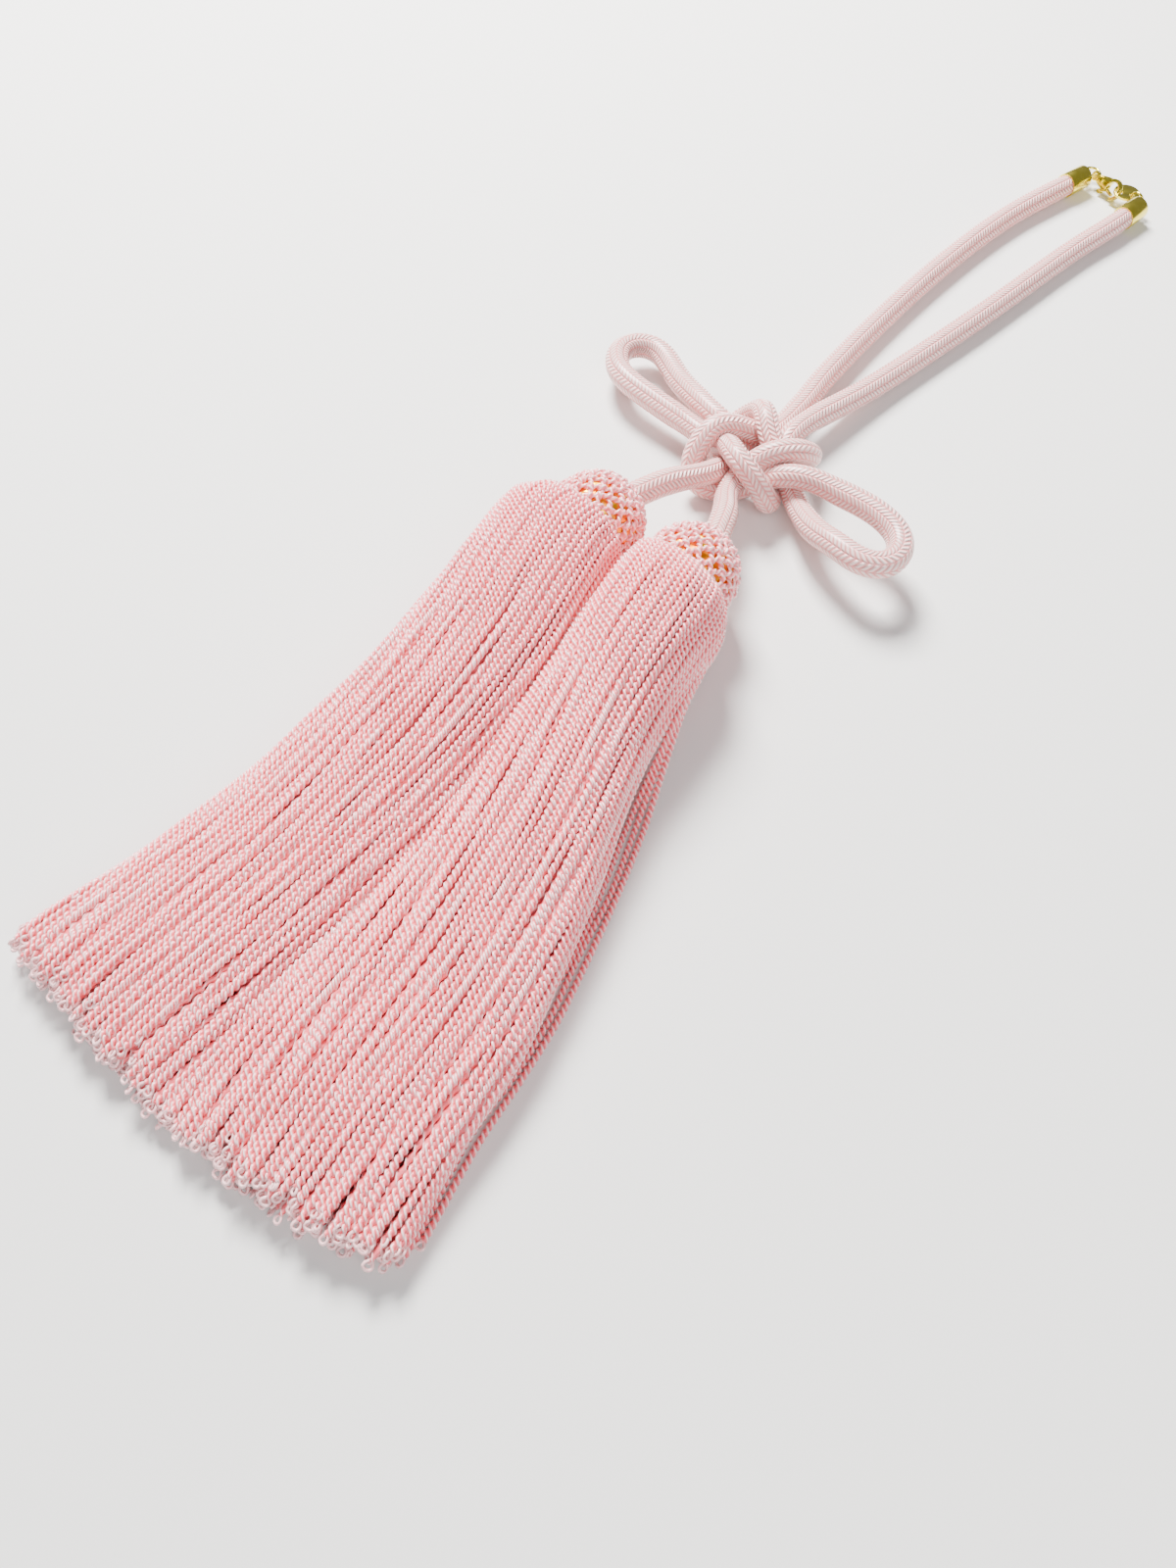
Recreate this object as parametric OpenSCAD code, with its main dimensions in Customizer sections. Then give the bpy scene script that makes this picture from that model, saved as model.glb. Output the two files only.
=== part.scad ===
// Agemaki knot tassel: two braided cords, one knot with two ears, gold findings and two netted tassels.
// It lies on its back on a table. +Y runs from the fringes to the clasp, the ears point along X, and Z is up.

/* [Cords] */
// Diameter of each braided cord
cord_d = 7; // [6.8:0.1:7]
// Diameter of the cords where the knot draws them tight
tight_d = 5; // [4.8:0.1:5]
// Diameter of a cord's end inside its cap
end_d = 6; // [5.8:0.1:6]
// Sides of each swept cord
cord_sides = 10; // [8:1:12]

/* [End caps] */
// Outside diameter of a cap
cap_d = 7.4; // [7.3:0.1:7.4]
// Length of a cap without its eye
cap_len = 9.5; // [9:0.5:9.5]
// How far a cord goes into its cap
cap_depth = 7; // [5:0.5:7]
// Gap all round a cord in its head
cord_gap = 0.2; // [0.1:0.05:0.2]

/* [Rings and eyes] */
// Mean radius of a jump ring
ring_r = 2.5; // [2.4:0.05:2.6]
// Mean radius of an eye
eye_r = 1.2; // [1.1:0.05:1.3]
// Wire diameter of the rings and eyes
wire_d = 0.8; // [0.7:0.05:0.85]

/* [Clasp] */
// Distance from the clasp's eye to the middle of its hook
clasp_len = 8.9; // [8.7:0.1:9.1]
// Mean radius of the hook
hook_r = 2.8; // [2.7:0.05:2.9]
// Radial width of the hook
hook_w = 1; // [0.9:0.05:1]
// Thickness of the shank over both cheeks
shank_t = 2.4; // [2.2:0.1:2.6]
// Thickness of the lever
lever_t = 1; // [0.8:0.1:1]
// Clearance round the lever
lever_gap = 0.15; // [0.1:0.05:0.2]
// Radius of the round plate
plate_r = 4.2; // [4:0.1:4.2]
// Thickness of the round plate
plate_t = 0.8; // [0.6:0.1:0.9]

/* [Heads] */
// Outside diameter of a netted head
head_d = 26; // [25:0.5:26]
// Thickness of the net
net_t = 1.2; // [1:0.1:1.4]
// Gaps in each row of a net
net_columns = 15; // [12:1:15]
// Rows of gaps in a net
net_rows = 4; // [3:1:4]
// Width of a gap beside the fringe
net_gap_d = 3; // [2.4:0.1:3.2]

/* [Fringes] */
// Locks round each fringe
lock_count = 12; // [10:1:14]
// Share of the fringe's width that the backing fills
backing_fill = 0.86; // [0.8:0.01:0.9]
// How far the locks hang past the backing
lock_tail = 12; // [8:1:14]

/* [Hidden] */

$fn = 48;
coarse = 32;
fit_gap = 0.3;

// The knot's middle in plan, how far from it the cords are drawn in fully and in part, and by how much
knot_at = [-6, 13];
knot_reach = 25;
knot_outside = 45;
knot_pull = 0.85;

// How far from the knot's middle the cords are thin
knot_tight_reach = 30;

// Each cord's slack route: from its cap through the knot, round its ear, through the knot again, into its head
left_slack = [
    [-1.5, 197, 4], [-9.5, 164, 3.5], [-13, 128, 3.5], [-13.5, 88, 3.5], [-12, 58, 4], [-10.5, 45, 5],
    [-10, 28, 8], [-12, 21.5, 12], [-16, 15.5, 16.5], [-19.5, 10, 18.5], [-20.5, 3.5, 16], [-20, -1.5, 10.5],
    [-16.5, -3, 5.5], [-11, 0, 3.5], [-5.5, 4, 4.5], [4, 8.5, 12], [9, 10, 14.5], [15, 12, 15.5],
    [24, 13.5, 14.5], [34, 13, 13.5], [41, 10, 13], [44.5, 4.5, 13], [43.5, -1, 13], [38.5, -3.5, 13],
    [31, -2.5, 12.5], [24, 0, 10.5], [12.5, 9.5, 7.5], [7, 14, 8.5], [1, 17, 12], [-4, 18.5, 15],
    [-8.5, 22.5, 17.5], [-13.5, 27.5, 16.5], [-18, 28.5, 11.5], [-22, 26, 7], [-23.5, 21, 4], [-21.5, 15.5, 3.5],
    [-17, 10.5, 4.5], [-13.5, 6, 7.5], [-12, 1, 11], [-12, -5, 13.5], [-16, -18.5, 17.5], [-18.5, -27, 17]];
right_slack = [
    [21, 192.5, 4], [19.5, 181, 4], [15.5, 161, 3.5], [9, 113, 3.5], [1, 62, 4.5], [-3, 35, 10],
    [-2.5, 27, 10.5], [0.5, 15.5, 4], [3.5, 10, 3.5], [6.5, 5, 5], [6.5, 1.5, 10], [3, 0.5, 15],
    [-2, 0.5, 19], [-7.5, 3, 19], [-12, 7, 16.5], [-16.5, 9.5, 12.5], [-22, 11.5, 10], [-31, 13.5, 9],
    [-54, 16.5, 8.5], [-60, 20.5, 8], [-63, 26, 7.5], [-61, 32, 7], [-55, 34, 6.5], [-42, 27, 7.5],
    [-27, 20.5, 11.5], [-20.5, 19.5, 10.5], [-15, 20, 6], [-10.5, 22, 3.5], [-5, 26, 3.5], [1, 28.5, 3.5],
    [6, 28, 7.5], [8, 24, 12.5], [6.5, 19.5, 16.5], [3, 14.5, 18], [-1, 10, 16.5], [-3.5, 5, 13.5],
    [-4, -0.5, 11.5], [-2.5, -6.5, 11.5], [4.5, -17.5, 16.5], [8, -26, 17]];

// Each head: the middle of its rim and the way it points, towards its cord
left_head = [[-20.5, -37, 15.5], [0.2, 0.97, 0.12]];
right_head = [[8.5, -36, 15.5], [-0.03, 0.99, 0.14]];

// Each fringe's sections past its rim: how far along, the middle, half the width and the height off the table
Y = 0; MIDDLE = 1; HALF = 2; HEIGHT = 3;
left_fringe = [
    [-48, -22.9, 17.4, 32], [-65, -20, 18.5, 31.5], [-83, -16.2, 20.2, 28], [-115, -13, 22, 22],
    [-149, -13.4, 23.1, 17], [-177, -15.8, 25.3, 14], [-196, -18.4, 27.4, 12]];
right_fringe = [
    [-48, 12.5, 15.5, 33], [-65, 17.3, 16.5, 32], [-83, 21.5, 16.8, 28], [-115, 28.8, 18.5, 22],
    [-149, 34.8, 23, 17], [-177, 37, 25.3, 14], [-196, 38, 26.2, 12]];

function unit(v) = v / norm(v);
function flat(v) = unit([v.x, v.y, 0]);
function eased(x) = let (t = min(max(x, 0), 1)) t * t * (3 - 2 * t);
function knot_distance(p) = norm([p.x, p.y] - knot_at);
function cord_r_at(p) = knot_distance(p) < knot_tight_reach ? tight_d / 2 : cord_d / 2;

// A point of a slack route, drawn in towards the knot's middle and down as the knot is pulled tight
function drawn_in(p) =
    let (away = eased((knot_distance(p) - knot_reach) / (knot_outside - knot_reach)),
         pull = knot_pull + (1 - knot_pull) * away,
         x = knot_at.x + pull * (p.x - knot_at.x),
         y = knot_at.y + pull * (p.y - knot_at.y))
    [x, y, max(pull * p.z, cord_r_at(p))];

left_route = [for (p = left_slack) drawn_in(p)];
right_route = [for (p = right_slack) drawn_in(p)];

head_r = head_d / 2;
bore_d = cord_d + 2 * cord_gap;
bore_len = 20;
cap_slack = 0.7;
cap_bore_d = end_d + cap_slack;
cap_top = cap_len - cap_depth;
cap_shoulder = 0.8;

// An eye's foot, how deep it is sunk in its cap, and the height of the eye's middle
eye_foot = 0.5;
eye_sunk = 0.1;
eye_z = cap_top + eye_r + eye_foot - 2 * eye_sunk;

// The way out of a cap, and the middle of the cap's eye
function cap_way(route) = flat(route[0] - route[1]);
function cap_eye(route) = route[0] + eye_z * cap_way(route);

// The clasp lies on its edge: its length, its lever's side and its thickness run along these three directions
clasp_turn = -25.8;
clasp_roll = 250;
clasp_along = [cos(clasp_turn), sin(clasp_turn), 0];
clasp_across = [-sin(clasp_turn) * cos(clasp_roll), cos(clasp_turn) * cos(clasp_roll), sin(clasp_roll)];
ring_at = cap_eye(left_route) + ring_r * cap_way(left_route);
clasp_at = ring_at + ring_r * clasp_along;

// The hook passes through the plate at this angle round the hook
hook_pass = -10;
plate_hole_r = 1.2;
plate_hole_at = 2.5;
plate_turn = 40;
pass_at = clasp_at + (clasp_len + hook_r * cos(hook_pass)) * clasp_along
    + hook_r * sin(hook_pass) * clasp_across;
plate_at = pass_at + plate_hole_at * [cos(plate_turn), sin(plate_turn), 0];

// The plate ring stands on edge and joins the plate's second hole to the right cap's eye
plate_ring_end = cap_eye(right_route);
plate_ring_way = flat(plate_ring_end - plate_at);
plate_ring_drop = plate_at.z - plate_ring_end.z;
plate_ring_span = sqrt(4 * pow(ring_r, 2) - pow(plate_ring_drop, 2));
plate_ring_start = plate_ring_end - plate_ring_span * plate_ring_way;
plate_ring_at = plate_ring_end - plate_ring_span / 2 * plate_ring_way + [0, 0, plate_ring_drop / 2];
ring_hole_r = 0.8;

// The lever's pivot, gate end and thumb nub in the clasp's own plane
pivot = [clasp_len - 2.9, 1];
gate_end = [clasp_len + 0.35, 1.55];
nub = [clasp_len - 4.3, 2.7];
pin_r = 0.4;
pivot_r = 1.05;
lever_w = 0.8;
nub_r = 0.75;
nub_len = 1.7;

// The hook's thickness, and the angle round it at which its tip ends
hook_t = 1.3;
hook_tip = 75;

// The clasp's own eye, the neck behind it and the two ends of its shank
clasp_eye_r = 1.5;
clasp_eye_t = 1.4;
neck_w = 1.6;
shank_back = [1.9, -0.1];
shank_back_r = 1.1;
shank_front = [clasp_len - 3.6, -0.3];
shank_front_r = 2;
slot_from = [clasp_len - 5.2, -0.3];
slot_size = [4, 3];

// Aims the children's +Z along a direction
module aim(way) {
    rotate([0, acos(way.z / norm(way)), atan2(way.y, way.x)]) children();
}

module torus(mean_r, tube_d) {
    rotate_extrude() translate([mean_r, 0]) circle(d = tube_d);
}

// Directions across a route, carried along it without twisting
function way_at(p, i) =
    i == 0 ? unit(p[1] - p[0])
    : i == len(p) - 1 ? unit(p[i] - p[i - 1])
    : unit(unit(p[i + 1] - p[i]) + unit(p[i] - p[i - 1]));
function squared(v, way) = unit(v - way * (v * way));
function carried(p, v, i = 0) =
    let (here = squared(v, way_at(p, i)))
    i == len(p) - 1 ? [here] : concat([here], carried(p, here, i + 1));

// Triangles between rings of points, closed at both ends, the last end round a middle point if there is one
function skin(rings, sides, middle = false) = concat(
    [for (i = [0 : rings - 2], k = [0 : sides - 1], half = [0, 1])
        let (a = i * sides + k, b = i * sides + (k + 1) % sides)
        half == 0 ? [a, a + sides, b] : [b, a + sides, b + sides]],
    [[for (k = [0 : sides - 1]) k]],
    middle
    ? [for (k = [0 : sides - 1], a = (rings - 1) * sides) [rings * sides, a + (k + 1) % sides, a + k]]
    : [[for (k = [sides - 1 : -1 : 0]) (rings - 1) * sides + k]]);

module swept_cord(slack, route) {
    normals = carried(route, [0, 0, 1]);
    points = [for (i = [0 : len(route) - 1], k = [0 : cord_sides - 1])
        let (turn = 360 * k / cord_sides, side = cross(way_at(route, i), normals[i]),
             reach = i == 0 ? end_d / 2 : cord_r_at(slack[i]))
        route[i] + reach * (cos(turn) * normals[i] + sin(turn) * side)];
    polyhedron(points, skin(len(route), cord_sides), convexity = 8);
}

module cord_left() {
    color("mistyrose") swept_cord(left_slack, left_route);
}

module cord_right() {
    color("mistyrose") swept_cord(right_slack, right_route);
}

// A cap in its own frame: the cord's end is at the origin and the eye is at the top
module end_cap(eye_turn) {
    rotate_extrude() polygon([
        [cap_bore_d / 2, -cap_depth], [cap_d / 2, -cap_depth], [cap_d / 2, cap_top - cap_shoulder],
        [cap_d / 2 - cap_shoulder, cap_top], [0, cap_top], [0, fit_gap], [cap_bore_d / 2, fit_gap]]);
    translate([0, 0, cap_top - eye_sunk]) cylinder(h = eye_foot, d = 2 * eye_r);
    translate([0, 0, eye_z]) rotate([0, 0, eye_turn]) rotate([90, 0, 0]) torus(eye_r, wire_d);
}

module cap_left() {
    color("gold") translate(left_route[0]) aim(cap_way(left_route)) end_cap(0);
}

module cap_right() {
    color("gold") translate(right_route[0]) aim(cap_way(right_route)) end_cap(90);
}

module clasp_ring() {
    color("gold") translate(ring_at) torus(ring_r, wire_d);
}

module plate_ring() {
    color("gold") translate(plate_ring_at)
        rotate([90, 0, atan2(plate_ring_way.y, plate_ring_way.x)]) torus(ring_r, wire_d);
}

// Puts the clasp's own plane, with its eye at the origin, where the clasp lies
module in_clasp() {
    translate(clasp_at) rotate([0, 0, clasp_turn]) rotate([clasp_roll, 0, 0]) children();
}

module slab(t) {
    linear_extrude(height = t, center = true) children();
}

module bar(from, to, w) {
    hull() {
        translate(from) circle(d = w, $fn = coarse);
        translate(to) circle(d = w, $fn = coarse);
    }
}

module hook_outline() {
    reach = 2 * hook_r;
    translate([clasp_len, 0]) difference() {
        circle(r = hook_r + hook_w / 2);
        circle(r = hook_r - hook_w / 2);
        polygon([[0, 0], reach * [cos(hook_tip), sin(hook_tip)], [-reach, reach], [-reach, 0]]);
    }
}

module shank_outline() {
    difference() {
        hull() {
            translate(shank_back) circle(r = shank_back_r, $fn = coarse);
            translate(shank_front) circle(r = shank_front_r, $fn = coarse);
        }
        translate([clasp_len, 0]) circle(r = hook_r - hook_w / 2);
    }
}

module clasp_body() {
    color("gold") in_clasp() {
        difference() {
            union() {
                slab(clasp_eye_t) difference() {
                    union() {
                        circle(r = clasp_eye_r);
                        translate([ring_hole_r, -neck_w / 2]) square(neck_w);
                    }
                    circle(r = ring_hole_r);
                }
                slab(hook_t) hook_outline();
                slab(shank_t) shank_outline();
            }
            slab(lever_t + 2 * lever_gap) translate(slot_from) square(slot_size);
        }
        translate(pivot) cylinder(h = shank_t, r = pin_r, center = true);
    }
}

module clasp_lever() {
    color("goldenrod") in_clasp() {
        slab(lever_t) difference() {
            union() {
                translate(pivot) circle(r = pivot_r);
                bar(pivot, gate_end, lever_w);
                bar(pivot, nub, lever_w);
            }
            translate(pivot) circle(r = pin_r + lever_gap);
        }
        translate(nub) cylinder(h = nub_len, r = nub_r, center = true);
    }
}

module clasp_plate() {
    color("gold") translate(plate_at) difference() {
        cylinder(h = plate_t, r = plate_r, center = true);
        rotate(plate_turn) translate([-plate_hole_at, 0, 0])
            cylinder(h = 2 * plate_t, r = plate_hole_r, center = true);
        translate([plate_ring_start.x - plate_at.x, plate_ring_start.y - plate_at.y])
            cylinder(h = 2 * plate_t, r = ring_hole_r, center = true);
    }
}

// A dome with its rim at the origin and its top along +Z
module dome(r) {
    intersection() {
        sphere(r = r);
        translate([0, 0, r]) cube([2 * r, 2 * r, 2 * r], center = true);
    }
}

// The bore for a cord's end, along the last stretch of its route
module cord_bore(route) {
    last = len(route) - 1;
    way = unit(route[last - 1] - route[last]);
    translate(route[last] - fit_gap * way) aim(way) cylinder(h = bore_len, d = bore_d);
}

module head_core(head, route) {
    color("orange") difference() {
        translate(head[0]) aim(head[1]) dome(head_r - net_t - fit_gap);
        cord_bore(route);
    }
}

module head_core_left() {
    head_core(left_head, left_route);
}

module head_core_right() {
    head_core(right_head, right_route);
}

// The lean of a net's lowest row of gaps off the head's axis, and the step to the next row
first_row = 78;
row_step = 15;

// Staggered rows of gaps, each row smaller and nearer to the cord than the one below it
module net_gaps() {
    for (row = [0 : net_rows - 1]) {
        lean = first_row - row_step * row;
        gap_d = net_gap_d * sin(lean);
        for (column = [0 : net_columns - 1])
            rotate([0, lean, 360 * (column + row % 2 / 2) / net_columns])
                translate([0, 0, head_r - 2 * net_t]) cylinder(h = 3 * net_t, d = gap_d);
    }
}

module head_net(head, route) {
    color("lightpink") difference() {
        translate(head[0]) aim(head[1]) difference() {
            dome(head_r);
            sphere(r = head_r - net_t);
            net_gaps();
        }
        cord_bore(route);
    }
}

module head_net_left() {
    head_net(left_head, left_route);
}

module head_net_right() {
    head_net(right_head, right_route);
}

// How a fringe's outline goes round: full above, and flattened where it lies on the table
flattening = 0.7;
function round_z(turn) = sin(turn) < 0 ? -pow(-sin(turn), flattening) : sin(turn);

// A point of section i, where share is 1 on the outline and 0 in the middle
function fringe_point(head, table, i, turn, share) =
    i == 0
    ? let (back = unit(head[1]), side = unit(cross(back, [0, 0, 1])), up = cross(side, back))
        head[0] - fit_gap * back + share * head_r * (cos(turn) * side + sin(turn) * up)
    : let (row = table[i - 1])
        [row[MIDDLE] + share * row[HALF] * cos(turn), row[Y], row[HEIGHT] / 2 * (1 + share * round_z(turn))];

// Each lock stands out of the backing in four steps round its back, and the grooves deepen along the fringe
lock_steps = 4;
first_groove = 0.4;
function lock_share(i, step, sections) =
    let (groove = (first_groove + (1 - first_groove) * i / sections) * (1 - backing_fill))
    step == 0 ? 1 - groove : step == 2 ? 1 : 1 - groove / 4;

// The last ring is where the locks hang free: each has its own length and the grooves stay behind
uneven = 0.35;
tip_turn = 137;
tip_share = 0.95;
tip_side_share = 0.85;
end_groove = 2.5;
function lock_length(number) = lock_tail * (1 - uneven + uneven * sin(tip_turn * number));
function lock_end(head, table, number, step, turn) =
    step == 0
    ? fringe_point(head, table, len(table), turn, 1 - end_groove * (1 - backing_fill))
    : fringe_point(head, table, len(table), turn, step == 2 ? tip_share : tip_side_share)
        - [0, lock_length(number), 0];

module fringe(head, table) {
    sides = lock_steps * lock_count;
    sections = len(table) + 1;
    locks = [for (i = [0 : sections - 1], k = [0 : sides - 1])
        fringe_point(head, table, i, 360 * k / sides, lock_share(i, k % lock_steps, sections))];
    ends = [for (k = [0 : sides - 1])
        lock_end(head, table, floor(k / lock_steps), k % lock_steps, 360 * k / sides)];
    middle = fringe_point(head, table, len(table), 0, 0) + [0, lock_tail / 2, 0];
    color("pink") polyhedron(concat(locks, ends, [middle]), skin(sections + 1, sides, true), convexity = 8);
}

module fringe_left() {
    fringe(left_head, left_fringe);
}

module fringe_right() {
    fringe(right_head, right_fringe);
}

cord_left();
cord_right();
cap_left();
cap_right();
clasp_ring();
clasp_body();
clasp_lever();
clasp_plate();
plate_ring();
head_core_left();
head_core_right();
head_net_left();
head_net_right();
fringe_left();
fringe_right();
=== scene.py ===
"""An agemaki knot tassel: braided cords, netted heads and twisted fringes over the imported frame."""

import math

import bmesh
import bpy
import numpy as np
from bpy.props import EnumProperty, FloatProperty, FloatVectorProperty, IntProperty, PointerProperty
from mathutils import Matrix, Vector


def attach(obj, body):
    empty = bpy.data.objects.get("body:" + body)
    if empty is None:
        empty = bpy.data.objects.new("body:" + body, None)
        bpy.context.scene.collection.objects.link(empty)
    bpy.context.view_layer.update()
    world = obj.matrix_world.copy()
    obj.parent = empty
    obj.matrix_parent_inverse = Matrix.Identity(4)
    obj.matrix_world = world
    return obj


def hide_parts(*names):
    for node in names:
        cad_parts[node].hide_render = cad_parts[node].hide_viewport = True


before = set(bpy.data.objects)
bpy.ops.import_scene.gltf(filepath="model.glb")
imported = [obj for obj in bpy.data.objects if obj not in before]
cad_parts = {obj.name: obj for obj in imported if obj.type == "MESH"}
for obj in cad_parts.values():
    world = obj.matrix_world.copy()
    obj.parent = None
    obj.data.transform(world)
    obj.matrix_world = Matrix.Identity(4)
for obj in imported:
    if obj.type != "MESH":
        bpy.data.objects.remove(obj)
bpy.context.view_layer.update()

bl_info = {
    "name": "Agemaki Knot Tassel",
    "version": (1, 0, 0),
    "blender": (4, 5, 0),
    "location": "View3D > Sidebar > Tassel",
    "description": "Dresses the knotted tassel with braided cord, netted heads and twisted fringes",
    "category": "Add Mesh",
}

MM = 0.001

# Each cord's slack route in millimetres: from its cap through the knot, round its ear, through the knot again
# and into its head
ROUTES = {
    "left": np.array((
        (-1.5, 197, 4), (-9.5, 164, 3.5), (-13, 128, 3.5), (-13.5, 88, 3.5), (-12, 58, 4), (-10.5, 45, 5),
        (-10, 28, 8), (-12, 21.5, 12), (-16, 15.5, 16.5), (-19.5, 10, 18.5), (-20.5, 3.5, 16),
        (-20, -1.5, 10.5), (-16.5, -3, 5.5), (-11, 0, 3.5), (-5.5, 4, 4.5), (4, 8.5, 12), (9, 10, 14.5),
        (15, 12, 15.5), (24, 13.5, 14.5), (34, 13, 13.5), (41, 10, 13), (44.5, 4.5, 13), (43.5, -1, 13),
        (38.5, -3.5, 13), (31, -2.5, 12.5), (24, 0, 10.5), (12.5, 9.5, 7.5), (7, 14, 8.5), (1, 17, 12),
        (-4, 18.5, 15), (-8.5, 22.5, 17.5), (-13.5, 27.5, 16.5), (-18, 28.5, 11.5), (-22, 26, 7),
        (-23.5, 21, 4), (-21.5, 15.5, 3.5), (-17, 10.5, 4.5), (-13.5, 6, 7.5), (-12, 1, 11), (-12, -5, 13.5),
        (-16, -18.5, 17.5), (-18.5, -27, 17),
    )) / 1000,
    "right": np.array((
        (21, 192.5, 4), (19.5, 181, 4), (15.5, 161, 3.5), (9, 113, 3.5), (1, 62, 4.5), (-3, 35, 10),
        (-2.5, 27, 10.5), (0.5, 15.5, 4), (3.5, 10, 3.5), (6.5, 5, 5), (6.5, 1.5, 10), (3, 0.5, 15),
        (-2, 0.5, 19), (-7.5, 3, 19), (-12, 7, 16.5), (-16.5, 9.5, 12.5), (-22, 11.5, 10), (-31, 13.5, 9),
        (-54, 16.5, 8.5), (-60, 20.5, 8), (-63, 26, 7.5), (-61, 32, 7), (-55, 34, 6.5), (-42, 27, 7.5),
        (-27, 20.5, 11.5), (-20.5, 19.5, 10.5), (-15, 20, 6), (-10.5, 22, 3.5), (-5, 26, 3.5), (1, 28.5, 3.5),
        (6, 28, 7.5), (8, 24, 12.5), (6.5, 19.5, 16.5), (3, 14.5, 18), (-1, 10, 16.5), (-3.5, 5, 13.5),
        (-4, -0.5, 11.5), (-2.5, -6.5, 11.5), (4.5, -17.5, 16.5), (8, -26, 17),
    )) / 1000,
}

# The knot's middle in plan, how far from it the cords are drawn in fully and in part, and how soon they are
# wide again past it
KNOT_MIDDLE = np.array((-0.006, 0.013))
DRAWN_REACH = 0.025
DRAWN_OUTSIDE = 0.045
KNOT_EASE = 0.008

# How deep a cord's end is in its cap, and how far past it the cord has its full width
CAP_DEPTH = 0.007
CAP_EASE = 0.006

# Gap between a cord's rings, corners in each, and how softly, in square metres, it meets the floor
CORD_STEP = 0.0012
CORD_CORNERS = 24
FLOOR_EASE = 0.0000001

# Each head: the middle of its rim and the way that it points, towards its cord
HEADS = {
    "left": ((-0.0205, -0.037, 0.0155), (0.2, 0.97, 0.12)),
    "right": ((0.0085, -0.036, 0.0155), (-0.03, 0.99, 0.14)),
}

# Sections of each fringe: where along it, its middle, half its width and its height
FRINGES = {
    "left": (
        (-0.0443, -0.022, 0.0156, 0.0308), (-0.048, -0.02265, 0.01765, 0.032),
        (-0.065, -0.0195, 0.019, 0.0315), (-0.083, -0.01575, 0.02075, 0.028),
        (-0.115, -0.0125, 0.0225, 0.022), (-0.149, -0.0129, 0.0236, 0.017),
        (-0.177, -0.01515, 0.02585, 0.014), (-0.196, -0.01775, 0.02825, 0.0105),
        (-0.21, -0.0193, 0.0297, 0.007),
    ),
    "right": (
        (-0.0435, 0.0103, 0.0146, 0.0312), (-0.048, 0.0116, 0.0156, 0.033),
        (-0.065, 0.0141, 0.0156, 0.032), (-0.083, 0.0171, 0.0161, 0.028),
        (-0.115, 0.02505, 0.01955, 0.022), (-0.149, 0.03085, 0.02435, 0.017),
        (-0.177, 0.03305, 0.02675, 0.014), (-0.196, 0.03465, 0.02865, 0.0105),
        (-0.21, 0.0354, 0.0296, 0.007),
    ),
}

# Where strands part: how far round from the right side, from and to along the length, and how wide
PARTINGS = {
    "left": (
        (0.16, -0.06, -0.15, 0.0004), (0.3, -0.075, -0.2, 0.0006), (0.42, -0.05, -0.12, 0.0005),
        (0.55, -0.11, -0.205, 0.0006), (0.66, -0.055, -0.14, 0.0006), (0.78, -0.09, -0.19, 0.0005),
        (0.9, -0.12, -0.2, 0.0006),
    ),
    "right": (
        (0.045, -0.105, -0.23, 0.0007), (0.125, -0.085, -0.23, 0.0007), (0.27, -0.06, -0.16, 0.0005),
        (0.38, -0.09, -0.205, 0.0006), (0.5, -0.05, -0.13, 0.0005), (0.61, -0.1, -0.2, 0.0006),
        (0.74, -0.06, -0.15, 0.0006), (0.86, -0.11, -0.195, 0.0005),
    ),
}

# Strands that lie apart on the floor: how many, and the outermost one's route in millimetres by place along
# the fringe, way out from its side and height
STRAYS = {
    "left": (1, np.array((
        (-130, -0.7, 6), (-150, -0.3, 3), (-170, 0.3, 0.8), (-186, 1.1, 0.8), (-210, 2.2, 0.8),
    )) / 1000),
    "right": (3, np.array((
        (-55, -0.8, 12), (-66, 0.4, 10.5), (-80, 2.8, 6.2), (-94, 3.6, 1), (-112, 3, 0.8), (-127, 2.3, 0.8),
        (-142, 1.6, 0.8), (-156, 0.6, 0.8), (-170, 0.3, 0.8), (-190, 1, 0.8), (-210, 1.6, 0.8),
    )) / 1000),
}

# Strays fan out from here over this length: the gap between them, its sway, and how much higher each next one
# leaves the flank
FAN_START = -0.062
FAN_LENGTH = 0.028
STRAY_GAP = 0.0019
STRAY_SWAY = 0.00035
STRAY_SWAY_RATE = 150
STRAY_RISE = 0.0016

GOLD_PIECES = (
    ("cap_left", "tassel"), ("cap_right", "tassel"), ("clasp_ring", "tassel"), ("clasp_body", "tassel"),
    ("clasp_lever", "lever"), ("clasp_plate", "tassel"), ("plate_ring", "tassel"),
)

# How far in the groove between two plies lies, as a share of the radius, and the mark of a ply with no groove
# The mark runs from painted highlight on a crown at 0 to painted shade in a groove at 1
GROOVE_DEPTH = 0.58
ROUND_MARK = 0.12

# Radius of the single ply in the loop at a strand's end
LOOP_RADIUS = 0.00035

# A random twist or phase is drawn from 0 to this angle
ANY_TURN = 6.3
SEEDS = {"foil": 11, "net": 5, "left": 21, "right": 34}

# Twisted plies seen end on: each corner's way round and its distance out, as a share of the radius
TWO_PLIES = ((0, 1), (46, 0.8), (90, 0.42), (134, 0.8), (180, 1), (226, 0.8), (270, 0.42), (314, 0.8))
TWO_PLIES_PLAIN = ((0, 1), (62, 0.65), (118, 0.65), (180, 1), (242, 0.65), (298, 0.65))
TWO_PLIES_FLAT = ((0, 1), (90, 0.5), (180, 1), (270, 0.5))
ONE_PLY = ((0, 1), (90, 1), (180, 1), (270, 1))

# Gold edges sharper than the first angle are rounded, and those past the second are shaded as edges
ROUNDED_ANGLE = math.radians(40)
SHADED_ANGLE = math.radians(38)

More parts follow.
